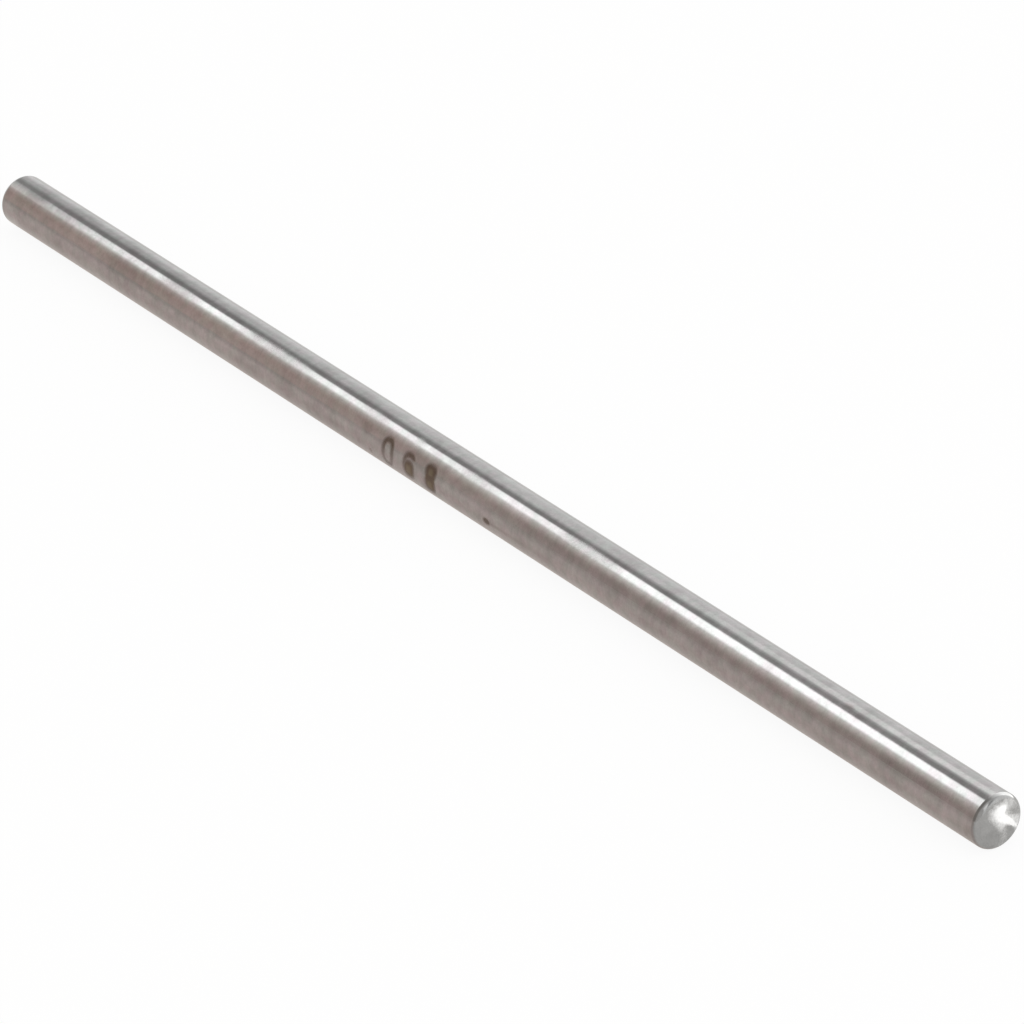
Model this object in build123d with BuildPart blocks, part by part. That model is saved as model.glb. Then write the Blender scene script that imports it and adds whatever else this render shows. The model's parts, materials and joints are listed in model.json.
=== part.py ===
from build123d import *
from math import asin, degrees
import os

# Pin gauge: one ground pin of round section, made in one piece, with crowned ends and rounded rims.
# The pin's axis is X, and the origin is on the axis at mid length.

# Driving dimensions: the barrel's size, nominal in inches, and the form of its two ends in millimetres
barrel_diameter = 0.068 * IN
overall_length = 2 * IN
crown_height = 0.10
corner_radius = 0.20

# Sizes that follow from them
barrel_radius = barrel_diameter / 2
tip_x = overall_length / 2
crown_radius = (barrel_radius**2 + crown_height**2) / (2 * crown_height)
crown_angle = degrees(asin(barrel_radius / crown_radius))

# The half section is the barrel line between two crown arcs, closed along the axis. Each crown is
# centred on the axis, so the turned end is a shallow dome that stands crown_height proud of its rim.
with BuildPart() as gauge_pin:
    with BuildSketch(Plane.XZ):
        with BuildLine():
            near_crown = CenterArc((tip_x - crown_radius, 0), crown_radius, 0, crown_angle)
            far_crown = CenterArc((crown_radius - tip_x, 0), crown_radius, 180 - crown_angle, crown_angle)
            Line(near_crown @ 1, far_crown @ 0)
            Line(far_crown @ 1, near_crown @ 0)
        make_face()
    revolve(axis=Axis.X)

    # Both rims are rounded, so that the pin enters a hole without scraping its edge.
    rims = gauge_pin.edges().filter_by(GeomType.CIRCLE)
    fillet(rims, radius=corner_radius)

gauge_pin.part.label = "gauge_pin"

barrel_wall = gauge_pin.faces().filter_by(GeomType.CYLINDER)[0]
print(f"diameter {barrel_diameter:.4f} mm, length {overall_length:.2f} mm")
print(f"straight barrel {barrel_wall.bounding_box().size.X:.3f} mm, crown radius {crown_radius:.3f} mm")

os.makedirs("parts", exist_ok=True)
export_step(gauge_pin.part, "parts/gauge_pin.step")
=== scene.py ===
"""Looks of the pin gauge: one ground steel pin that lies on a pale table under soft studio light.

The pin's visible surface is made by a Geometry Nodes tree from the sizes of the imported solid: a body of
revolution with crowned ends and rounded rims, its worked near end, and the shallow etched digits of its
own nominal size. Its finish is procedural. The scene's lengths are in metres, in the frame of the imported
part; places on the pin are named in millimetres, and angles in degrees.
"""

import json
import logging
import math
from dataclasses import dataclass
from enum import Enum
from typing import Any, Optional, Union

import bpy
from mathutils import Matrix, Vector


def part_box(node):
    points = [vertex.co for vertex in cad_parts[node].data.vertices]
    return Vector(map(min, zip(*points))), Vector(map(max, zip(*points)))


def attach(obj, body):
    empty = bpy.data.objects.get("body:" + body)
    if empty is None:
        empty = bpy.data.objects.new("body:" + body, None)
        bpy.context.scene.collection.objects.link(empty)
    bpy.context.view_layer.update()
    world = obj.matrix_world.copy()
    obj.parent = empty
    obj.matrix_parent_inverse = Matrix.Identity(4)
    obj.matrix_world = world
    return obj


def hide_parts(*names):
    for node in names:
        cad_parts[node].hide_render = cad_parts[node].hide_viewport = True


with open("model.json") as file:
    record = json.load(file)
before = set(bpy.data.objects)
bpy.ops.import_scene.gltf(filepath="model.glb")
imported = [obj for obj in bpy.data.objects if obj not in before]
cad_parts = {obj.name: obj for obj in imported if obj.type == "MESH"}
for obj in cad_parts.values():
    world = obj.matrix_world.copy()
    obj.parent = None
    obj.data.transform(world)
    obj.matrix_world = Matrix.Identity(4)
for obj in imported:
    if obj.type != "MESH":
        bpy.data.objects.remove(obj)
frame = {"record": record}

logging.basicConfig(level=logging.INFO, format="%(name)s: %(message)s")
LOG = logging.getLogger("pin_gauge_scene")

Rgb = tuple[float, float, float]
Bands = tuple[tuple[float, Rgb], ...]
Value = Union["Field", float, int]
Place = tuple["Field", "Field", "Field"]

MM = 0.001
HALF_TURN = 180.0
FULL_TURN = 360.0
NOISE_MIDDLE = 0.5
WHITE: Rgb = (1.0, 1.0, 1.0)
SQUARE = ((-1, -1), (1, -1), (1, 1), (-1, 1))
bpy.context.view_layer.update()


class Field:
    """One output socket of a node tree, which can be used in Python arithmetic."""

    def __init__(self, bench: "Bench", socket: bpy.types.NodeSocket) -> None:
        """Wraps an output socket, with the bench of its tree."""
        self.bench = bench
        self.socket = socket

    def __add__(self, other: Value) -> "Field":
        """Adds two values."""
        return self.bench.math("ADD", self, other)

    __radd__ = __add__

    def __sub__(self, other: Value) -> "Field":
        """Takes the other value away."""
        return self.bench.math("SUBTRACT", self, other)

    def __rsub__(self, other: Value) -> "Field":
        """Takes this value away from a number."""
        return self.bench.math("SUBTRACT", other, self)

    def __mul__(self, other: Value) -> "Field":
        """Multiplies two values."""
        return self.bench.math("MULTIPLY", self, other)

    __rmul__ = __mul__

    def __truediv__(self, other: Value) -> "Field":
        """Divides by the other value."""
        return self.bench.math("DIVIDE", self, other)

    def __rtruediv__(self, other: Value) -> "Field":
        """Divides a number by this value."""
        return self.bench.math("DIVIDE", other, self)

    def __neg__(self) -> "Field":
        """Turns the sign round."""
        return self.bench.math("MULTIPLY", self, -1.0)

    def __abs__(self) -> "Field":
        """Gives the value without its sign."""
        return self.bench.math("ABSOLUTE", self)

    def __gt__(self, other: Value) -> "Field":
        """Gives 1 where this value is the greater, and 0 elsewhere."""
        return self.bench.math("GREATER_THAN", self, other)

    def __lt__(self, other: Value) -> "Field":
        """Gives 1 where this value is the smaller, and 0 elsewhere."""
        return self.bench.math("LESS_THAN", self, other)

    def floor(self) -> "Field":
        """Rounds down."""
        return self.bench.math("FLOOR", self)

    def sin(self) -> "Field":
        """Gives the sine of an angle in radians."""
        return self.bench.math("SINE", self)

    def cos(self) -> "Field":
        """Gives the cosine of an angle in radians."""
        return self.bench.math("COSINE", self)

    def sqrt(self) -> "Field":
        """Gives the square root."""
        return self.bench.math("SQRT", self)

    def power(self, exponent: float) -> "Field":
        """Raises the value to a power."""
        return self.bench.math("POWER", self, exponent)

    def least(self, other: Value) -> "Field":
        """Gives the smaller of two values."""
        return self.bench.math("MINIMUM", self, other)

    def most(self, other: Value) -> "Field":
        """Gives the larger of two values."""
        return self.bench.math("MAXIMUM", self, other)

    def turn(self, across: Value) -> "Field":
        """Gives the angle of the point (across, self) from the first axis, in degrees."""
        return self.bench.math("ARCTAN2", self, across) * (HALF_TURN / math.pi)

    def reach(self, other: "Field") -> "Field":
        """Gives how far the point (self, other) is from the origin."""
        return (self * self + other * other).sqrt()

    def clamped(self) -> "Field":
        """Keeps the value between 0 and 1."""
        return self.most(0.0).least(1.0)

    def rise(self, start: float, end: float) -> "Field":
        """Rises smoothly from 0 at start to 1 at end, or falls where end is the smaller."""
        share = ((self - start) / (end - start)).clamped()
        return share * share * (3.0 - 2.0 * share)

    def scaled(self, factor: Value) -> "Field":
        """Scales a vector or a colour."""
        return self.bench.node("ShaderNodeVectorMath", {"operation": "SCALE"}, {0: self, 3: factor})

    def parts(self) -> Place:
        """Splits a vector or a colour into its three values."""
        split = self.bench.node("ShaderNodeSeparateXYZ", None, {0: self})
        return split, split.out("Y"), split.out("Z")

    def ramp(self, stops: list[tuple[float, Rgb]]) -> "Field":
        """Reads a colour ramp at the value. The ramp runs straight from stop to stop, in rising order."""
        return self.bench.node("ShaderNodeValToRGB", {"stops": stops}, {0: self})

    def out(self, name: str) -> "Field":
        """Gives the output of that name from the same node."""
        return Field(self.bench, self.socket.node.outputs[name])


class Bench:
    """A node tree that is built from Python expressions."""

    def __init__(self, tree: bpy.types.NodeTree) -> None:
        """Takes a node tree to build in, and clears it."""
        self.tree = tree
        tree.nodes.clear()

    def node(
        self,
        kind: str,
        settings: Optional[dict[str, Any]] = None,
        sockets: Optional[dict[Union[str, int], Any]] = None,
        output: Union[str, int] = 0,
    ) -> Field:
        """Makes any node.

        Args:
            kind: The node's type name.
            settings: Its own settings, set first. The key "stops" holds a ramp's positions and colours.
            sockets: A value or a Field for each input, by name or number.
            output: The output that is handed back, by name or number.

        Returns:
            That output as a Field. A node with no output gives a Field of its first input.
        """
        made = self.tree.nodes.new(kind)
        for name, value in (settings or {}).items():
            if name == "stops":
                self._set_stops(made.color_ramp, value)
            else:
                setattr(made, name, value)
        for key, value in (sockets or {}).items():
            if isinstance(value, Field):
                self.tree.links.new(value.socket, made.inputs[key])
            else:
                made.inputs[key].default_value = value
        return Field(self, made.outputs[output] if len(made.outputs) else made.inputs[0])

    @staticmethod
    def _set_stops(ramp: bpy.types.ColorRamp, stops: list[tuple[float, Rgb]]) -> None:
        """Sets a colour ramp's stops.

        Args:
            ramp: The ramp.
            stops: A position and a colour for each stop, in rising order.
        """
        while len(ramp.elements) < len(stops):
            ramp.elements.new(1.0)
        for element, (position, colour) in zip(ramp.elements, stops):
            element.position = position
            element.color = (*colour, 1.0)

    def math(self, operation: str, *values: Value) -> Field:
        """Makes a Math node from its operation and its inputs in order."""
        return self.node("ShaderNodeMath", {"operation": operation}, dict(enumerate(values)))

    def vector(self, x: Value, y: Value, z: Value) -> Field:
        """Joins three values into a vector."""
        return self.node("ShaderNodeCombineXYZ", None, {0: x, 1: y, 2: z})

    def place(self) -> Field:
        """Gives the place on the object, in metres."""
        return self.node("ShaderNodeTexCoord", None, None, "Object")

    def attribute(self, name: str) -> Field:
        """Reads a number that the mesh stores."""
        return self.node("ShaderNodeAttribute", {"attribute_name": name}, None, "Fac")

    def blend(self, share: Value, first: Union[Field, Rgb], second: Union[Field, Rgb]) -> Field:
        """Mixes two colours, and gives the first at a share of 0 and the second at 1."""
        ends = [end if isinstance(end, Field) else (*end, 1.0) for end in (first, second)]
        return self.node("ShaderNodeMix", {"data_type": "RGBA"}, {0: share, 6: ends[0], 7: ends[1]}, 2)

    def glow(self, colour: Union[Field, Rgb], strength: float = 1.0) -> Field:
        """Makes a glowing shader of a colour."""
        given = colour if isinstance(colour, Field) else (*colour, 1.0)
        return self.node("ShaderNodeEmission", None, {"Color": given, "Strength": strength})

    def finish(self, shader: Field) -> None:
        """Makes the shader the material's surface."""
        self.node("ShaderNodeOutputMaterial", None, {"Surface": shader})


def new_material(name: str) -> tuple[bpy.types.Material, Bench]:
    """Makes an empty material.

    Args:
        name: The material's name.

    Returns:
        The material, and the bench for its tree.
    """
    material = bpy.data.materials.new(name)
    material.use_nodes = True
    return material, Bench(material.node_tree)


def add_mesh(
    name: str, corners: list[Any], faces: list[tuple[int, ...]], material: bpy.types.Material
) -> bpy.types.Object:
    """Adds a plain mesh to the scene.

    Args:
        name: The name of the object and its mesh.
        corners: The places of its corners, in metres.
        faces: The numbers of each face's corners.
        material: Its material.

    Returns:
        The object.
    """
    mesh = bpy.data.meshes.new(name)
    mesh.from_pydata(corners, [], faces)
    mesh.materials.append(material)
    made = bpy.data.objects.new(name, mesh)
    bpy.context.scene.collection.objects.link(made)
    return made


@dataclass(frozen=True)
class Ease:
    """A smooth step of a value, from 0 at its start to its gain at its end.

    Where the end is the smaller of the two, the step falls as the value grows.
    """

    start: float
    end: float
    gain: float = 1.0

    def of(self, value: Field, origin: float = 0.0) -> Field:
        """Reads the step at a value, with its start and end counted from the origin."""
        step = value.rise(origin + self.start, origin + self.end)
        return step if self.gain == 1.0 else step * self.gain


@dataclass(frozen=True)
class Texture:
    """A noise: its lumps to a unit of length, along the pin and across it, and its finer layers.

    The shade is how far it lightens and darkens the steel. The shift moves it along the pin, so that it
    differs from its fellows.
    """

    along: float
    across: float
    detail: float
    roughness: float
    shade: float = 0.0
    shift: float = 0.0

    def over(self, place: Place) -> Field:
        """Makes the noise.

        Args:
            place: The place where it is read.

        Returns:
            The noise, from 0 to 1.
        """
        x, y, z = place
        at = x.bench.vector((x + self.shift) * self.along, y * self.across, z * self.across)
        sockets = {"Vector": at, "Scale": 1.0, "Detail": self.detail, "Roughness": self.roughness}
        return x.bench.node("ShaderNodeTexNoise", None, sockets)


@dataclass(frozen=True)
class Ring:
    """An upright oval stroke of a digit, in millimetres from the digit's middle."""

    rise: float
    half_width: float
    half_height: float


@dataclass(frozen=True)
class Digit:
    """One etched digit: its place along the pin and its oval strokes.

    The open rings run all round. The hooks are kept only on their left side and over their top, as in
    the upper part of a six. The fill says how much residue sits inside the open rings, and the blot is
    the radius of residue that has run together at the digit's middle. The bite is how deep the digit is
    etched, as a share of the mark's depth.
    """

    name: str
    along: float
    rings: tuple[Ring, ...]
    hooks: tuple[Ring, ...] = ()
    fill: float = 0.0
    blot: float = 0.0
    bite: float = 1.0


@dataclass(frozen=True)
class SizeMark:
    """The pin's own nominal diameter, etched as plain digits that stand upright on the barrel.

    Places are in millimetres: along is measured on the axis from mid length, and rise round the barrel
    from its level line on the viewer's side. The fill's edge is in shares of its ring's own size, and
    the hook's edges are counted from the digit's middle.
    """

    depth: float = 0.008
    middle_rise: float = 0.06
    half_stroke: float = 0.094
    soft_edge: float = 0.07
    squareness: float = 2.7
    least_share: float = 0.01
    point_along: float = -3.87
    point_rise: float = -0.26
    point_radius: float = 0.085
    point_bite: float = 0.75
    point_residue: float = 0.3
    fill_edge: Ease = Ease(1.15, 0.85)
    blot_edge: float = 0.06
    hook_left: Ease = Ease(0.05, -0.05)
    hook_top: Ease = Ease(0.21, 0.29)
    hook_foot: Ease = Ease(-0.2, -0.1)
    digits: tuple[Digit, ...] = (
        Digit("nought", -2.93, (Ring(0.01, 0.225, 0.40),)),
        Digit("six", -1.80, (Ring(-0.12, 0.21, 0.23),), (Ring(-0.02, 0.235, 0.37),), 0.95, bite=0.94),
        Digit("eight", -0.68, (Ring(0.22, 0.195, 0.18), Ring(-0.19, 0.205, 0.20)), fill=1.0, blot=0.2),
    )

    def _ring_gap(self, along: Field, rise: Field, ring: Ring) -> tuple[Field, Field]:
        """Measures how far a point is from a ring's centre line.

        Args:
            along: The point's place along the pin from the digit's middle.
            rise: The point's place round the barrel from the digit's middle.
            ring: The ring.

        Returns:
            The distance from the centre line, and the share of the ring's size at the point.
        """
        up = rise - ring.rise
        wide = abs(along / ring.half_width).power(self.squareness)
        tall = abs(up / ring.half_height).power(self.squareness)
        share = (wide + tall).power(1.0 / self.squareness).most(self.least_share)
        return abs(along.reach(up) * (1.0 - 1.0 / share)), share

    def _stroke(self, gap: Field, half_width: float) -> Field:
        """Gives 1 within a stroke's half width of its centre line and 0 beyond, with a soft edge."""
        return gap.rise(half_width + self.soft_edge, half_width - self.soft_edge)

    def cut(self, along: Field, rise: Field) -> tuple[Field, Field]:
        """Works out where the mark is cut, and where residue sits.

        Args:
            along: The place along the pin, in millimetres.
            rise: The place round the barrel, in millimetres.

        Returns:
            The cut from 0 to 1, and the residue from 0 to 1.
        """
        from_point = (along - self.point_along).reach(rise - self.point_rise)
        cut = self._stroke(from_point, self.point_radius) * self.point_bite
        residue = cut * self.point_residue
        for digit in self.digits:
            across = along - digit.along
            up = rise - self.middle_rise
            for ring in digit.rings:
                gap, share = self._ring_gap(across, up, ring)
                cut = cut.most(self._stroke(gap, self.half_stroke) * digit.bite)
                residue = residue.most(self.fill_edge.of(share) * digit.fill)
            for ring in digit.hooks:
                gap, _ = self._ring_gap(across, up, ring)
                kept = self.hook_left.of(across).most(self.hook_top.of(up)) * self.hook_foot.of(up)
                cut = cut.most(self._stroke(gap, self.half_stroke) * kept * digit.bite)
            if digit.blot:
                blot = across.reach(up).rise(digit.blot + self.blot_edge, digit.blot)
                residue = residue.most(blot * digit.fill)
        return cut, residue


@dataclass(frozen=True)
class Pit:
    """A short dent in the barrel, longer along the pin, in millimetres.

    The dirt says how dark its floor is, where 1 is as dark as a digit's stroke. Its edge is in shares
    of its half length and half width.
    """

    along: float = 2.26
    rise: float = -0.135
    half_length: float = 0.20
    half_width: float = 0.125
    depth: float = 0.010
    dirt: float = 1.3
    edge: Ease = Ease(1.25, 0.5)

    def cut(self, along: Field, rise: Field) -> Field:
        """Gives the cut from 0 to 1 at a place along the pin and round the barrel, in millimetres."""
        far = (along - self.along) / self.half_length
        return self.edge.of(far.reach((rise - self.rise) / self.half_width))


@dataclass(frozen=True)
class TornStar:
    """The rough star on the near end, where the end was worked by hand, in millimetres.

    It fans out from a heart a little above the axis. Each ray gives, for an angle in degrees from +Y, how
    far the torn core reaches, how far its frayed fringe reaches, and how torn the face is beyond that.
    The heart itself is a little duller than the core round it. The star is dented and roughened, and the
    finish also paints it near white and less metallic as a painted highlight.
    """

    heart_y: float = 0.13
    heart_z: float = 0.27
    depth: float = 0.022
    core_softness: float = 0.07
    dull_heart: Ease = Ease(0.08, 0.02, 0.20)
    fringe: float = 0.80
    rays: Bands = (
        (-180.0, (0.30, 0.60, 0.00)),
        (-156.0, (0.265, 0.48, 0.00)),
        (-132.0, (0.24, 0.48, 0.00)),
        (-108.0, (0.26, 0.58, 0.02)),
        (-96.0, (0.28, 0.60, 0.12)),
        (-90.0, (0.29, 0.50, 0.22)),
        (-84.0, (0.31, 0.39, 0.20)),
        (-72.0, (0.35, 0.45, 0.03)),
        (-60.0, (0.47, 0.57, 0.03)),
        (-48.0, (0.80, 0.95, 0.50)),
        (-43.0, (0.50, 0.65, 0.62)),
        (-36.0, (0.00, 0.30, 0.58)),
        (-24.0, (0.00, 0.16, 0.45)),
        (-16.0, (0.00, 0.32, 0.08)),
        (0.0, (0.00, 0.30, 0.06)),
        (12.0, (0.00, 0.22, 0.16)),
        (24.0, (0.00, 0.15, 0.25)),
        (36.0, (0.00, 0.12, 0.36)),
        (48.0, (0.00, 0.27, 0.38)),
        (60.0, (0.11, 0.42, 0.28)),
        (72.0, (0.23, 0.45, 0.14)),
        (84.0, (0.25, 0.47, 0.10)),
        (96.0, (0.25, 0.42, 0.04)),
        (108.0, (0.26, 0.43, 0.04)),
        (120.0, (0.28, 0.42, 0.13)),
        (132.0, (0.31, 0.55, 0.04)),
        (144.0, (0.33, 0.53, 0.01)),
        (156.0, (0.35, 0.63, 0.00)),
        (180.0, (0.30, 0.60, 0.00)),
    )

    @staticmethod
    def _on_ramp(angle: Value) -> Value:
        """Gives an angle's place on the ramp, which runs from half a turn back to half a turn on."""
        return angle / FULL_TURN + 0.5

    def torn(self, y: Field, z: Field) -> Field:
        """Works out how torn the end is at a place.

        Args:
            y: The place across the end, in millimetres.
            z: The place up the end, in millimetres.

        Returns:
            How torn it is, from 0 to 1.
        """
        across = y - self.heart_y
        up = z - self.heart_z
        reach = across.reach(up)
        stops = [(self._on_ramp(angle), ray) for angle, ray in self.rays]
        core, fringe, beyond = self._on_ramp(up.turn(across)).ramp(stops).parts()
        inside = ((core - reach) / self.core_softness + 0.5).clamped()
        inside = inside * (1.0 - self.dull_heart.of(reach))
        frayed = ((fringe - reach) / (fringe - core)).clamped() * (self.fringe - beyond) + beyond
        return inside + (1.0 - inside) * frayed


@dataclass(frozen=True)
class Smudge:
    """A greasy or tarnished patch on the barrel.

    Lengths are in millimetres, and angles in degrees round from the viewer's side.
    """

    along: float
    angle: float
    half_length: float
    half_angle: float
    haze: float
    tarnish: float


@dataclass(frozen=True)
class Spot:
    """What the finish reads at a place on the pin.

    The place and the distance off the axis are in millimetres, and the angle is in degrees round from
    the viewer's side. The rest run from 0 to 1: whether the place is on an end or on the near rim, how
    torn it is, which also sets where the star's painted highlight goes, how etched and filled it is, and
    its noises.
    """

    place: Place
    off_axis: Field
    angle: Field
    on_end: Field
    on_rim: Field
    torn: Field
    etch: Field
    filled: Field
    streaks: Field
    clouds: Field
    mottle: Field
    grain: Field


@dataclass(frozen=True)
class GroundSteel:
    """The finish of the pin: hardened tool steel, centreless ground and then handled.

    Its noises are the ground streaks, wide clouds, a mottle, a fine grain and a slight change of tint;
    the lay and the coarse noise are the relief of the barrel and of the ends. The edges of an end, its
    rim, its painted rim shade and its torn part are in millimetres from the shoulder or from the barrel's
    radius. The outer band of the near rim is darkened as painted shade. The torn star on the near end is
    rough relief, and it is also painted near white and made less metallic as a painted highlight. The
    etched digits are worn below and to the left.
    """

    radius: float
    shoulder: float
    star: TornStar
    name: str = "ground_steel"
    colour: Rgb = (0.405, 0.40, 0.395)
    tones: tuple[Rgb, Rgb] = ((0.975, 1.01, 0.99), (1.025, 0.985, 1.005))
    tarnished: Rgb = (0.60, 0.53, 0.50)
    etched: Rgb = (0.150, 0.116, 0.092)
    residue: Rgb = (0.205, 0.168, 0.105)
    face: Rgb = (0.40, 0.40, 0.395)
    # Painted highlight: the near white that the star on the near end is painted.
    painted_star_highlight: Rgb = (0.96, 0.96, 0.95)
    streaks: Texture = Texture(9.0, 0.7, 3.0, 0.6, shade=0.14)
    clouds: Texture = Texture(0.9, 0.9, 3.0, 0.55, shade=0.36)
    mottle: Texture = Texture(3.4, 3.4, 2.0, 0.55, shade=0.42)
    grain: Texture = Texture(16.0, 16.0, 2.0, 0.6, shade=0.22)
    tint: Texture = Texture(2.3, 2.3, 2.0, 0.6, shift=40.0)
    lay: Texture = Texture(45.0, 1.5, 2.0, 0.6)
    coarse: Texture = Texture(22.0, 22.0, 3.0, 0.6)
    tint_edge: Ease = Ease(0.34, 0.66)
    end_edge: Ease = Ease(-0.01, 0.02)
    rim_edge: Ease = Ease(-0.13, -0.06)
    # Painted shade: the outer band of the near rim is darkened, between these edges and by this share.
    rim_shade_edge: Ease = Ease(-0.06, -0.01)
    rim_painted_shade: float = 0.22
    torn_edge: Ease = Ease(-0.04, -0.14)
    torn_grain: float = 2.4
    # How much less metallic the star is made, so that its painted highlight shows.
    star_highlight_diffuse: float = 0.9
    cloud_haze: Ease = Ease(0.42, 0.75, 0.05)
    cloud_tarnish: Ease = Ease(0.55, 0.30, 0.10)
    patch_edge: Ease = Ease(1.6, 0.0)
    patch_grain: float = 0.8
    residue_cover: float = 0.88
    etch_cover: float = 0.92
    etch_grain: float = 0.5
    etch_mottle: float = 0.6
    worn: float = 0.40
    worn_below: Ease = Ease(30.0, -18.0)
    worn_left: Ease = Ease(-2.3, -2.5, 0.20)
    roughness: float = 0.075
    streak_roughness: float = 0.04
    end_roughness: float = 0.14
    end_grain: float = 0.12
    rim_polish: float = 0.85
    torn_roughness: float = 0.30
    mark_roughness: float = 0.35
    relief: float = 0.0008
    lay_relief: float = 0.5
    torn_relief: float = 5.0
    smudges: tuple[Smudge, ...] = (
        Smudge(-4.15, 30.0, 0.27, 14.0, 0.05, 0.36),
        Smudge(-1.80, 62.0, 0.24, 16.0, 0.14, 0.06),
        Smudge(-15.1, 59.0, 1.05, 11.0, 0.17, 0.03),
        Smudge(-9.50, 62.0, 2.10, 13.0, 0.19, 0.04),
        Smudge(-4.10, 59.0, 0.80, 11.0, 0.15, 0.02),
        Smudge(1.20, 59.0, 0.95, 11.0, 0.17, 0.02),
        Smudge(6.90, 59.0, 1.60, 12.0, 0.20, 0.02),
        Smudge(25.05, -14.0, 0.26, 24.0, 0.02, 0.24),
        Smudge(18.90, 77.0, 0.22, 6.0, 0.04, 0.40),
    )

    def make(self) -> bpy.types.Material:
        """Builds the material.

        Returns:
            The finished material.
        """
        material, bench = new_material(self.name)
        spot = self._spot(bench)
        haze, tarnish = self._wear(spot)
        rough = self.roughness + haze + (spot.streaks - NOISE_MIDDLE) * self.streak_roughness
        worked = self.end_roughness + (spot.grain - NOISE_MIDDLE) * self.end_grain
        rough = rough + (spot.on_end - spot.on_rim * self.rim_polish) * worked
        rough = rough + spot.torn * self.torn_roughness
        rough = rough + spot.etch.most(spot.filled) * self.mark_roughness
        lay = self.lay.over(spot.place) * (1.0 - spot.on_end) * self.lay_relief
        coarse = self.coarse.over(spot.place) * spot.on_end * (1.0 + spot.torn * self.torn_relief)
        bump = {"Strength": 1.0, "Distance": self.relief * MM, "Height": lay + coarse}
        looks = {
            "Base Color": self._colour(bench, spot, tarnish),
            # The star is made less metallic so that its painted highlight shows.
            "Metallic": 1.0 - spot.torn * self.star_highlight_diffuse,
            "Roughness": rough.clamped(),
            "Normal": bench.node("ShaderNodeBump", None, bump),
        }
        bench.finish(bench.node("ShaderNodeBsdfPrincipled", None, looks))
        return material

    def _spot(self, bench: Bench) -> Spot:
        """Reads what the finish needs at a place.

        Args:
            bench: The tree to build in.

        Returns:
            The values there.
        """
        place = bench.place().scaled(1.0 / MM).parts()
        x, y, z = place
        near = x > 0.0
        radius = self.radius / MM
        off_axis = y.reach(z)
        on_end = self.end_edge.of(abs(x), self.shoulder / MM)
        grain = self.grain.over(place)
        torn = self.star.torn(y, z) * near * self.torn_edge.of(off_axis, radius) * on_end
        torn = torn + torn * (1.0 - torn) * (grain - NOISE_MIDDLE) * self.torn_grain
        return Spot(
            place=place,
            off_axis=off_axis,
            angle=z.turn(-y),
            on_end=on_end,
            on_rim=on_end * self.rim_edge.of(off_axis, radius) * near,
            torn=torn.clamped(),
            etch=bench.attribute("etch"),
            filled=bench.attribute("residue"),
            streaks=self.streaks.over(place),
            clouds=self.clouds.over(place),
            mottle=self.mottle.over(place),
            grain=grain,
        )

    def _wear(self, spot: Spot) -> tuple[Field, Field]:
        """Works out what handling has left on the steel.

        Args:
            spot: The values at the place.

        Returns:
            The haze, which roughens the steel, and the tarnish, which darkens it.
        """
        haze = self.cloud_haze.of(spot.clouds)
        tarnish = self.cloud_tarnish.of(spot.clouds)
        ragged = (spot.grain - NOISE_MIDDLE) * self.patch_grain
        for smudge in self.smudges:
            far = (spot.place[0] - smudge.along) / smudge.half_length
            up = (spot.angle - smudge.angle) / smudge.half_angle
            patch = self.patch_edge.of(far * far + up * up + ragged)
            haze = haze + patch * smudge.haze
            tarnish = tarnish + patch * smudge.tarnish
        return haze, tarnish

    def _colour(self, bench: Bench, spot: Spot, tarnish: Field) -> Field:
        """Works out the colour.

        Args:
            bench: The tree to build in.
            spot: The values at the place.
            tarnish: The tarnish there.

        Returns:
            The colour.
        """
        shade: Value = 1.0
        for texture, noise in (
            (self.streaks, spot.streaks),
            (self.grain, spot.grain),
            (self.clouds, spot.clouds),
            (self.mottle, spot.mottle),
        ):
            shade = (noise - NOISE_MIDDLE) * texture.shade + shade
        # Painted shade: darkens the outermost band of the near rim.
        rim_shade = spot.on_rim * self.rim_shade_edge.of(spot.off_axis, self.radius / MM) * self.rim_painted_shade
        greenish, pinkish = (tuple(c * t for c, t in zip(self.colour, tone)) for tone in self.tones)
        tint = self.tint_edge.of(self.tint.over(spot.place))
        steel = bench.blend(tint, greenish, pinkish)
        tarnishing = {0: steel, 1: self.tarnished}
        darkened = bench.node("ShaderNodeVectorMath", {"operation": "MULTIPLY"}, tarnishing)
        steel = bench.blend(tarnish.clamped(), steel, darkened)
        steel = bench.blend(spot.on_end, steel, self.face)
        # Painted highlight: the star on the near end is painted near white.
        steel = bench.blend(spot.torn, steel, self.painted_star_highlight)
        steel = steel.scaled(shade * (1.0 - rim_shade))
        steel = bench.blend(spot.filled * self.residue_cover, steel, self.residue)
        kept = 1.0 - self.worn_below.of(spot.angle) * (self.worn + self.worn_left.of(spot.place[0]))
        cover = self.etch_cover + (spot.grain - NOISE_MIDDLE) * self.etch_grain
        cover = cover + (spot.mottle - NOISE_MIDDLE) * self.etch_mottle
        return bench.blend((spot.etch * kept * cover).clamped(), steel, self.etched)


@dataclass(frozen=True)
class Stretch:
    """A run of equal steps, along the pin in millimetres or round it in degrees."""

    end: float
    count: int


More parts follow.
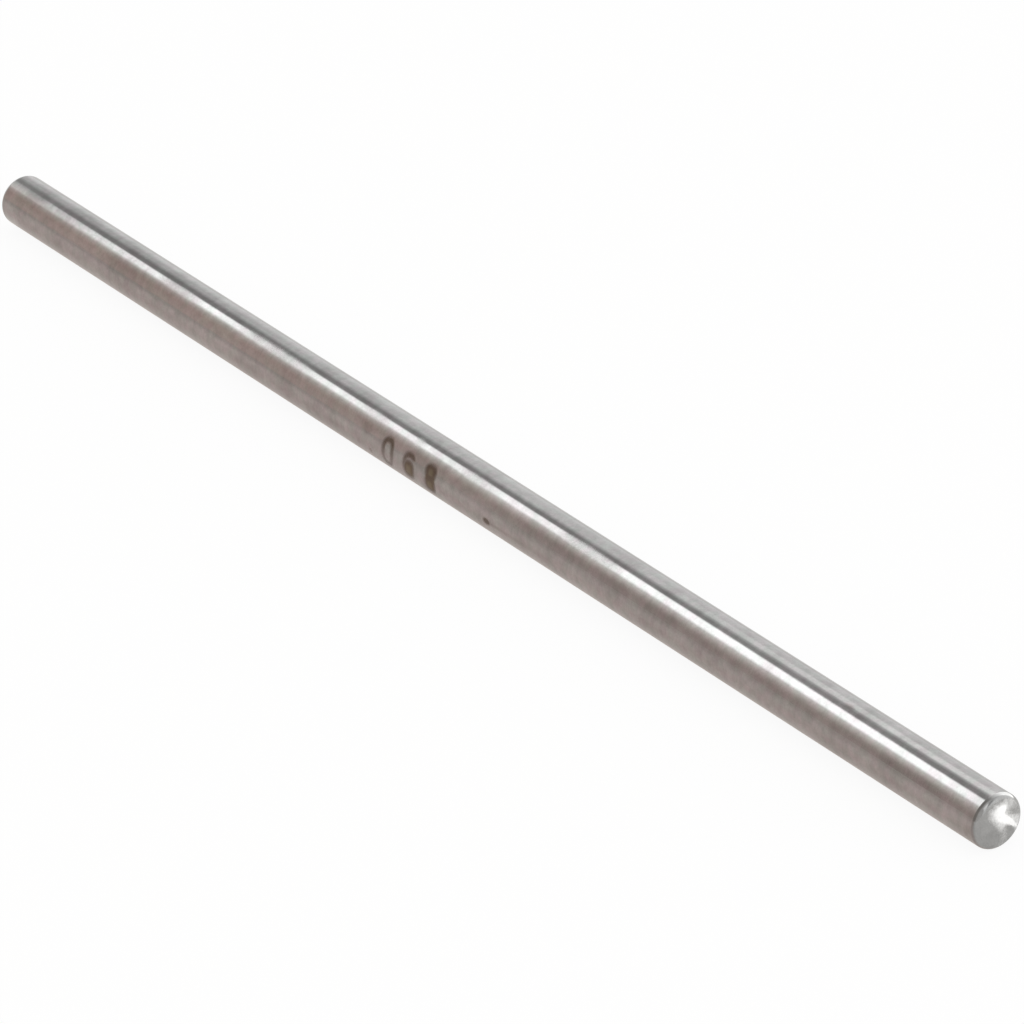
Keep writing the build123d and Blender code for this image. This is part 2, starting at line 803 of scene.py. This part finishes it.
@dataclass
class GroundPin:
    """The whole gauge: a straight barrel between two crowned ends with rounded rims.

    The rings are closest where the digits and the pit are. The star's edge is in millimetres from the
    barrel's radius.
    """

    radius: float
    half_length: float
    name: str = "ground_pin"
    crown_height: float = 0.10 * MM
    corner_radius: float = 0.20 * MM
    weld: float = 0.0004 * MM
    crown_rings: int = 34
    corner_rings: int = 14
    along: tuple[Stretch, ...] = (
        Stretch(-4.35, 8),
        Stretch(-0.15, 280),
        Stretch(1.95, 2),
        Stretch(2.45, 30),
    )
    last_count: int = 8
    around: tuple[Stretch, ...] = (Stretch(-36.0, 48), Stretch(44.0, 84), Stretch(HALF_TURN, 48))
    mark: SizeMark = SizeMark()
    pit: Pit = Pit()
    star: TornStar = TornStar()
    star_edge: Ease = Ease(-0.04, -0.16)

    @property
    def crown_radius(self) -> float:
        """The sphere radius of a crowned end."""
        return (self.radius**2 + self.crown_height**2) / (2 * self.crown_height)

    @property
    def crown_angle(self) -> float:
        """The angle, from the axis, at which the crown meets the rounded rim, in radians."""
        return math.asin((self.radius - self.corner_radius) / (self.crown_radius - self.corner_radius))

    @property
    def shoulder(self) -> float:
        """Where the straight barrel ends, measured along the axis from mid length."""
        inner = self.crown_radius - self.corner_radius
        return self.half_length - self.crown_radius + inner * math.cos(self.crown_angle)

    def _end_profile(self, ring: Field) -> tuple[Field, Field]:
        """Works out one end, from its pole to its shoulder.

        Args:
            ring: The ring's number, counted from that end's pole.

        Returns:
            How far each ring stands back from the tip, and its radius, in metres.
        """
        beta = self.crown_angle
        on_crown = (ring / self.crown_rings).clamped() * beta
        corner_share = ((ring - self.crown_rings) / self.corner_rings).clamped()
        on_corner = corner_share * (math.pi / 2 - beta) + beta
        back = (1.0 - on_crown.cos()) * self.crown_radius
        back = back + (math.cos(beta) - on_corner.cos()) * self.corner_radius
        radius = on_crown.sin() * self.crown_radius
        radius = radius + (on_corner.sin() - math.sin(beta)) * self.corner_radius
        return back, radius

    @staticmethod
    def _stepped(step: Field, start: float, stretches: tuple[Stretch, ...]) -> Field:
        """Spreads equal steps over the stretches, one after the other.

        Args:
            step: The number of the step.
            start: Where the first stretch begins.
            stretches: The stretches.

        Returns:
            The place at that step.
        """
        place: Value = start
        first = 0
        for stretch in stretches:
            share = ((step - first) / stretch.count).clamped()
            place = share * (stretch.end - start) + place
            start = stretch.end
            first += stretch.count
        return place

    def build(self, finish: bpy.types.Material) -> bpy.types.Object:
        """Builds the pin's mesh with Geometry Nodes.

        Args:
            finish: The material of its surface.

        Returns:
            The finished object, a plain mesh.
        """
        tree = bpy.data.node_groups.new(f"{self.name}_rule", "GeometryNodeTree")
        sizes = {
            "Shoulder": self.shoulder,
            "Tip": self.half_length,
            "Etch Depth": self.mark.depth * MM,
            "Pit Depth": self.pit.depth * MM,
            "Star Depth": self.star.depth * MM,
            "Weld": self.weld,
        }
        keys = {}
        for name in sizes:
            socket = tree.interface.new_socket(name, in_out="INPUT", socket_type="NodeSocketFloat")
            keys[name] = socket.identifier
        tree.interface.new_socket("Pin", in_out="OUTPUT", socket_type="NodeSocketGeometry")
        bench = Bench(tree)
        given = bench.node("NodeGroupInput")
        shoulder, tip, etch_depth, pit_depth, star_depth, weld = (given.out(name) for name in sizes)

        end_rings = self.crown_rings + self.corner_rings
        barrel = (*self.along, Stretch(self.shoulder / MM, self.last_count))
        rings = 2 * end_rings + sum(stretch.count for stretch in barrel) + 1
        spokes = sum(stretch.count for stretch in self.around) + 1
        LOG.info("%s: %d rings of %d spokes", self.name, rings, spokes - 1)
        LOG.info("%s: etched with %s", self.name, ", ".join(digit.name for digit in self.mark.digits))
        shape = bench.node("GeometryNodeMeshGrid", None, {"Vertices X": rings, "Vertices Y": spokes})
        index = bench.node("GeometryNodeInputIndex")
        # Half a step keeps the division clear of rounding.
        ring = ((index + 0.5) / spokes).floor()
        spoke = index - ring * spokes

        far_back, far_radius = self._end_profile(ring)
        near_back, near_radius = self._end_profile((rings - 1) - ring)
        along = self._stepped(ring - end_rings, -self.shoulder / MM, barrel)
        degrees = self._stepped(spoke, -HALF_TURN, self.around)
        rise = degrees * (math.pi / HALF_TURN * self.radius / MM)
        cut, residue = self.mark.cut(along, rise)
        pit = self.pit.cut(along, rise)
        radius = far_radius.least(near_radius) - cut * etch_depth - pit * pit_depth

        turn = degrees * (math.pi / HALF_TURN)
        y = -(radius * turn.cos())
        z = radius * turn.sin()
        torn = self.star.torn(y / MM, z / MM)
        torn = torn * self.star_edge.of(radius / MM, self.radius / MM)
        full_back = tip - shoulder
        x = along * MM - (full_back - far_back) + (full_back - near_back)
        x = x - torn * star_depth * (x > 0.0) * (near_back < full_back)

        etch = cut.most(pit * self.pit.dirt)
        stored = {"data_type": "FLOAT", "domain": "POINT"}
        for kind, settings, sockets in (
            ("GeometryNodeSetPosition", None, {"Position": bench.vector(x, y, z)}),
            ("GeometryNodeStoreNamedAttribute", stored, {"Name": "etch", "Value": etch}),
            ("GeometryNodeStoreNamedAttribute", stored, {"Name": "residue", "Value": residue}),
            ("GeometryNodeMergeByDistance", None, {"Distance": weld}),
            ("GeometryNodeSetShadeSmooth", None, {"Shade Smooth": True}),
            ("GeometryNodeRealizeInstances", None, {}),
            ("GeometryNodeSetMaterial", None, {"Material": finish}),
        ):
            shape = bench.node(kind, settings, {"Geometry": shape, **sockets})
        bench.node("NodeGroupOutput", None, {"Pin": shape})
        return self._bake(tree, {keys[name]: value for name, value in sizes.items()})

    def _bake(self, tree: bpy.types.GeometryNodeTree, inputs: dict[str, float]) -> bpy.types.Object:
        """Turns the tree's result into a plain mesh object at the origin.

        Args:
            tree: The Geometry Nodes tree.
            inputs: The modifier's inputs, by socket identifier.

        Returns:
            The object that holds the result.
        """
        seed = bpy.data.meshes.new(f"{self.name}_seed")
        pin = bpy.data.objects.new(self.name, seed)
        bpy.context.scene.collection.objects.link(pin)
        modifier = pin.modifiers.new("rule", "NODES")
        modifier.node_group = tree
        for key, value in inputs.items():
            modifier[key] = value
        evaluated = pin.evaluated_get(bpy.context.evaluated_depsgraph_get())
        mesh = bpy.data.meshes.new_from_object(evaluated)
        mesh.name = self.name
        pin.modifiers.clear()
        pin.data = mesh
        bpy.data.meshes.remove(seed)
        return pin


class ClothPart(Enum):
    """The parts of the tent's cloth that a crease can dim, each with its edges in turn.

    The window needs none, because its own edges bound it.
    """

    WINDOW = ()
    LOWER = (Ease(44.0, 30.0),)
    RIDGE = (Ease(86.0, 94.0), Ease(117.0, 107.0))


@dataclass(frozen=True)
class Crease:
    """A soft crease across the tent's cloth, which dims one part of it for a short run, in metres.

    With a share below zero it is a thin place, where that part glows more.
    """

    x: float
    half_length: float
    share: float
    part: ClothPart

    def kept(self, x: Field) -> Field:
        """Gives the share of the glow that the crease leaves at a place along the tent."""
        return 1.0 - abs(x - self.x).rise(self.half_length, 0.0) * self.share


@dataclass(frozen=True)
class Patch:
    """A soft-edged patch of the tent's cloth, bounded along the tent in metres and in its turn."""

    along: tuple[Ease, ...]
    turns: tuple[Ease, ...]
    weight: float

    def of(self, x: Field, turn: Field) -> Field:
        """Gives the patch's weight at a place in its bounds, and 0 outside."""
        shares = [ease.of(x) for ease in self.along] + [ease.of(turn) for ease in self.turns]
        return math.prod(shares) * self.weight


@dataclass(frozen=True)
class LightTent:
    """A half tunnel of glowing cloth over the pin, seen by the metal and never by the camera.

    Its bands run nearly along the pin. A band's place is its turn in degrees: 0 is level on the viewer's
    side, 90 is straight up and 180 is level behind the pin. The first bands are those that the barrel
    mirrors in the photo's view. They drift as they run along the pin, and folds in the cloth shake them.
    A bright window and a slit are cut in them. Then come the bands over the near end, those past it, and
    at last those on the right, which show from behind.
    """

    reach: float = 0.30
    x_far: float = -0.80
    x_near: float = 1.60
    runs: int = 24
    steps: int = 60
    drift: float = 72.0
    drift_from: float = -0.31
    drift_to: float = -0.25
    folds: Texture = Texture(60.0, 0.0, 1.0, 0.5)
    fold_turn: float = 2.4
    bands: Bands = (
        (0.0, (0.60, 0.51, 0.48)),
        (22.0, (0.56, 0.46, 0.43)),
        (34.0, (0.65, 0.56, 0.52)),
        (46.0, (0.86, 0.78, 0.74)),
        (56.0, (1.15, 1.10, 1.06)),
        (88.0, (0.60, 0.60, 0.60)),
        (93.0, (0.47, 0.46, 0.46)),
        (106.0, (0.44, 0.43, 0.43)),
        (114.0, (0.70, 0.70, 0.70)),
        (124.0, (1.00, 1.00, 1.00)),
        (150.0, (1.02, 1.02, 1.02)),
        (180.0, (1.00, 1.00, 1.00)),
    )
    widened: tuple[Ease, Ease] = (Ease(-0.300, -0.255, 5.4), Ease(-0.345, -0.368, 2.0))
    widened_turns: Ease = Ease(72.0, 58.0)
    narrowed: Patch = Patch((Ease(-0.280, -0.360),), (Ease(62.0, 48.0),), 8.0)
    warmed: Patch = Patch((Ease(-0.300, -0.340),), (Ease(50.0, 30.0),), 0.12)
    warm_glow: Rgb = (1.08, 0.72, 0.55)
    dusk: Patch = Patch((Ease(-0.300, -0.375),), (Ease(104.0, 118.0), Ease(160.0, 132.0)), 0.24)
    window_start: Ease = Ease(56.5, 70.0)
    window_end: Ease = Ease(93.5, 84.5)
    window_sway: Patch = Patch((Ease(-0.330, -0.300), Ease(-0.250, -0.270)), (), 3.0)
    window_rest: float = 1.0
    window_run: Ease = Ease(-0.383, -0.373, 0.94)
    window_beyond: float = 0.06
    window_glow: Rgb = (2.50, 2.52, 2.55)
    slit: Patch = Patch((Ease(-0.295, -0.245),), (Ease(113.0, 124.0), Ease(148.0, 136.0)), 0.55)
    slit_glow: Rgb = (1.75, 1.75, 1.75)
    creases: tuple[Crease, ...] = (
        Crease(-0.345, 0.016, 0.20, ClothPart.WINDOW),
        Crease(-0.324, 0.026, 0.24, ClothPart.WINDOW),
        Crease(-0.296, 0.012, 0.24, ClothPart.WINDOW),
        Crease(-0.285, 0.026, 0.12, ClothPart.LOWER),
        Crease(-0.236, 0.016, 0.33, ClothPart.LOWER),
        Crease(-0.365, 0.040, 0.16, ClothPart.RIDGE),
        Crease(-0.259, 0.024, -0.26, ClothPart.RIDGE),
    )
    over_end_from: Ease = Ease(-0.225, -0.165)
    over_end: Bands = (
        (0.0, (0.42, 0.38, 0.35)),
        (80.0, (0.42, 0.41, 0.39)),
        (94.0, (0.58, 0.57, 0.56)),
        (110.0, (1.30, 1.30, 1.30)),
        (125.0, (1.85, 1.85, 1.85)),
        (142.0, (2.60, 2.60, 2.60)),
        (180.0, (2.60, 2.60, 2.58)),
    )
    past_end_from: Ease = Ease(0.03, 0.14)
    past_end: Bands = (
        (0.0, (0.72, 0.70, 0.68)),
        (54.0, (0.71, 0.69, 0.68)),
        (64.0, (0.82, 0.81, 0.80)),
        (80.0, (0.82, 0.81, 0.80)),
        (92.0, (0.68, 0.68, 0.67)),
        (102.0, (0.68, 0.68, 0.68)),
        (121.0, (0.97, 0.97, 0.97)),
        (148.0, (1.05, 1.05, 1.05)),
        (180.0, (1.15, 1.15, 1.15)),
    )
    right_end_from: Ease = Ease(0.21, 0.27)
    right_end: Bands = (
        (0.0, (0.70, 0.69, 0.68)),
        (50.0, (0.62, 0.61, 0.60)),
        (58.0, (1.25, 1.25, 1.25)),
        (78.0, (1.35, 1.35, 1.35)),
        (88.0, (0.52, 0.52, 0.52)),
        (102.0, (0.40, 0.40, 0.40)),
        (114.0, (0.78, 0.78, 0.78)),
        (126.0, (1.00, 1.00, 1.00)),
        (180.0, (0.95, 0.95, 0.95)),
    )

    def build(self, floor_height: float) -> None:
        """Makes the tent.

        Args:
            floor_height: The height of the table that it stands on.
        """
        corners = []
        for run in range(self.runs + 1):
            x = self.x_far + (self.x_near - self.x_far) * run / self.runs
            for step in range(self.steps + 1):
                turn = math.pi * step / self.steps
                height = max(self.reach * math.sin(turn), floor_height)
                corners.append((x, -self.reach * math.cos(turn), height))
        faces = []
        for run in range(self.runs):
            for step in range(self.steps):
                first = run * (self.steps + 1) + step
                above = first + self.steps + 1
                faces.append((first, first + 1, above + 1, above))
        tent = add_mesh("light_tent", corners, faces, self._cloth())
        tent.visible_camera = False
        tent.visible_shadow = False
        tent.visible_diffuse = False

    @staticmethod
    def _banded(turn: Field, bands: Bands) -> Field:
        """Gives the colour that the bands have at a turn in degrees."""
        return (turn / HALF_TURN).ramp([(stop / HALF_TURN, glow) for stop, glow in bands])

    def _kept(self, x: Field, turn: Field, part: ClothPart) -> Field:
        """Gives the share of a part's glow that its creases leave."""
        kept = math.prod(crease.kept(x) for crease in self.creases if crease.part is part)
        return 1.0 - math.prod((ease.of(turn) for ease in part.value), start=1.0 - kept)

    def _along_barrel(self, bench: Bench, x: Field, turn: Field) -> Field:
        """Colours the cloth that the barrel mirrors.

        Args:
            bench: The tree to build in.
            x: The place along the tent, in metres.
            turn: The turn in degrees, with the bands' drift and folds.

        Returns:
            The colour.
        """
        widened = self.widened[0].of(x) + self.widened[1].of(x)
        banded = turn + widened * self.widened_turns.of(turn) - self.narrowed.of(x, turn)
        cloth = self._banded(banded, self.bands)
        cloth = bench.blend(self.warmed.of(x, turn), cloth, self.warm_glow)
        shade = 1.0 - self.dusk.of(x, turn)
        shade = shade * self._kept(x, turn, ClothPart.LOWER) * self._kept(x, turn, ClothPart.RIDGE)
        cloth = cloth.scaled(shade)
        sway = self.window_sway.of(x, turn) - self.window_rest
        window = self.window_start.of(turn + widened) * self.window_end.of(turn - sway)
        window = window * (self.window_beyond + self.window_run.of(x))
        window = window * self._kept(x, turn, ClothPart.WINDOW)
        cloth = bench.blend(window, cloth, self.window_glow)
        return bench.blend(self.slit.of(x, turn), cloth, self.slit_glow)

    def _cloth(self) -> bpy.types.Material:
        """Makes the tent's glowing cloth.

        Returns:
            The material.
        """
        material, bench = new_material("tent_cloth")
        place = bench.place().parts()
        x, y, z = place
        level = z.turn(-y)
        folds = (self.folds.over(place) - NOISE_MIDDLE) * self.fold_turn
        turn = level + (x.least(self.drift_to) - self.drift_from) * self.drift + folds
        cloth = self._along_barrel(bench, x, turn)
        over_end = self._banded(level, self.over_end)
        past_end = self._banded(level, self.past_end)
        right_end = self._banded(level + folds, self.right_end)
        beyond = bench.blend(self.past_end_from.of(x), over_end, past_end)
        beyond = bench.blend(self.right_end_from.of(x), beyond, right_end)
        cloth = bench.blend(self.over_end_from.of(x), cloth, beyond)
        bench.finish(bench.glow(cloth))
        return material


@dataclass(frozen=True)
class Lamp:
    """A small soft lamp low on the right, which picks out the worked end."""

    direction: tuple[float, float, float] = (0.80, 0.55, 0.17)
    reach: float = 0.40
    width: float = 0.12
    strength: float = 4.4

    def build(self) -> None:
        """Makes the lamp's glowing square."""
        aim = Vector(self.direction).normalized()
        across = aim.cross(Vector((0, 0, 1))).normalized()
        up = across.cross(aim)
        centre = aim * self.reach
        half = self.width / 2
        corners = [centre + across * half * a + up * half * b for a, b in SQUARE]
        material, bench = new_material("low_lamp_glow")
        bench.finish(bench.glow(WHITE, self.strength))
        lamp = add_mesh("low_lamp", corners, [(0, 1, 2, 3)], material)
        lamp.visible_camera = False
        lamp.visible_glossy = False


@dataclass(frozen=True)
class Table:
    """The pale table, and the plain room round it.

    The metal mirrors it a little darker than it is seen. The mirrored part is warm in front of the
    barrel, a little darker towards the near end, palest close by the barrel, and it dims far away from
    it. Behind the barrel and past its end it is plain.
    """

    height: float
    pin_end: float
    half_width: float = 2.0
    colour: Rgb = (0.92, 0.91, 0.90)
    seen_white: float = 0.92
    mirrored_share: float = 0.60
    in_front: Rgb = (0.655, 0.50, 0.45)
    near_front: Rgb = (0.60, 0.47, 0.42)
    near_along: Ease = Ease(-14.0 * MM, 2.0 * MM)
    near_across: Ease = Ease(-1.8 * MM, -3.0 * MM)
    close_by: Rgb = (0.78, 0.68, 0.63)
    close_edge: Ease = Ease(-1.5 * MM, -0.6 * MM)
    far_front: Rgb = (0.34, 0.23, 0.185)
    far_edge: Ease = Ease(0.35, 0.01)
    least_distance: float = 0.1 * MM
    elsewhere: Rgb = (0.72, 0.71, 0.695)
    end_edge: Ease = Ease(-0.3 * MM, 0.0)
    back_edge: Ease = Ease(-0.2 * MM, 0.2 * MM)
    room: float = 1.0

    def _mirrored(self, bench: Bench) -> Field:
        """Colours the table as the metal mirrors it.

        Args:
            bench: The tree to build in.

        Returns:
            The colour.
        """
        x, y, _ = bench.place().parts()
        towards_end = self.near_along.of(x) * self.near_across.of(y)
        front = bench.blend(towards_end, self.in_front, self.near_front)
        nearness = -MM / y.least(-self.least_distance)
        front = bench.blend(self.far_edge.of(nearness), front, self.far_front)
        front = bench.blend(self.close_edge.of(y), front, self.close_by)
        away = self.end_edge.of(x, self.pin_end).most(self.back_edge.of(y))
        return bench.blend(away, front, self.elsewhere)

    def build(self) -> None:
        """Makes the table top and the world."""
        material, bench = new_material("pale_table")
        seen = bench.node("ShaderNodeLightPath", None, None, "Is Camera Ray")
        mirrored = seen.out("Is Glossy Ray").most(seen.out("Is Transmission Ray"))
        glow = bench.glow(bench.blend(mirrored, WHITE, self._mirrored(bench)))
        plain = bench.node("ShaderNodeBsdfDiffuse", None, {"Color": (*self.colour, 1.0)})
        share = seen * self.seen_white + mirrored * self.mirrored_share
        bench.finish(bench.node("ShaderNodeMixShader", None, {0: share, 1: plain, 2: glow}))
        corners = [(self.half_width * a, self.half_width * b, self.height) for a, b in SQUARE]
        add_mesh("table_top", corners, [(0, 1, 2, 3)], material)

        world = bpy.data.worlds.new("plain_room")
        world.use_nodes = True
        bpy.context.scene.world = world
        bench = Bench(world.node_tree)
        sockets = {"Color": (*WHITE, 1.0), "Strength": self.room}
        light = bench.node("ShaderNodeBackground", None, sockets)
        bench.node("ShaderNodeOutputWorld", None, {"Surface": light})


@dataclass(frozen=True)
class Viewpoint:
    """The camera, level and long, looking down along the pin from its near end."""

    lens_mm: float = 227.4
    sensor_mm: float = 36.0
    elevation: float = 27.63
    bearing: float = 54.03
    reach: float = 196.92 * MM
    right_of_pin: float = 1.4125 * MM
    below_pin: float = 0.912 * MM
    clip_start: float = 0.01
    clip_end: float = 20.0

    def build(self) -> None:
        """Makes the scene's camera."""
        rise, turn = math.radians(self.elevation), math.radians(self.bearing)
        level = math.cos(rise)
        right = Vector((math.cos(turn), math.sin(turn), 0.0))
        ahead = Vector((-math.sin(turn) * level, math.cos(turn) * level, -math.sin(rise)))
        up = right.cross(ahead)
        data = bpy.data.cameras.new("camera")
        data.lens = self.lens_mm
        data.sensor_width = self.sensor_mm
        data.clip_start = self.clip_start
        data.clip_end = self.clip_end
        camera = bpy.data.objects.new("camera", data)
        bpy.context.scene.collection.objects.link(camera)
        place = right * self.right_of_pin - up * self.below_pin - ahead * self.reach
        turned = Matrix((right, up, -ahead)).transposed().to_4x4()
        camera.matrix_world = Matrix.Translation(place) @ turned
        bpy.context.scene.camera = camera


def main() -> None:
    """Builds the pin, dresses it, and sets the studio round it."""
    barrel = frame["record"]["mounts"][0]["dims"]
    low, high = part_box("gauge_pin")
    pin = GroundPin(radius=barrel["r_mm"] * MM, half_length=(high.x - low.x) / 2)
    steel = GroundSteel(pin.radius, pin.shoulder, pin.star)
    piece = pin.build(steel.make())
    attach(piece, "root")
    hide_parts("gauge_pin")
    length = 2 * pin.half_length / MM
    LOG.info("%s: %d faces, %.2f mm long", piece.name, len(piece.data.polygons), length)

    Table(height=-pin.radius, pin_end=pin.half_length).build()
    LightTent().build(-pin.radius)
    Lamp().build()
    Viewpoint().build()

    bpy.context.scene.view_settings.view_transform = "Standard"


if __name__ == "__main__":
    main()
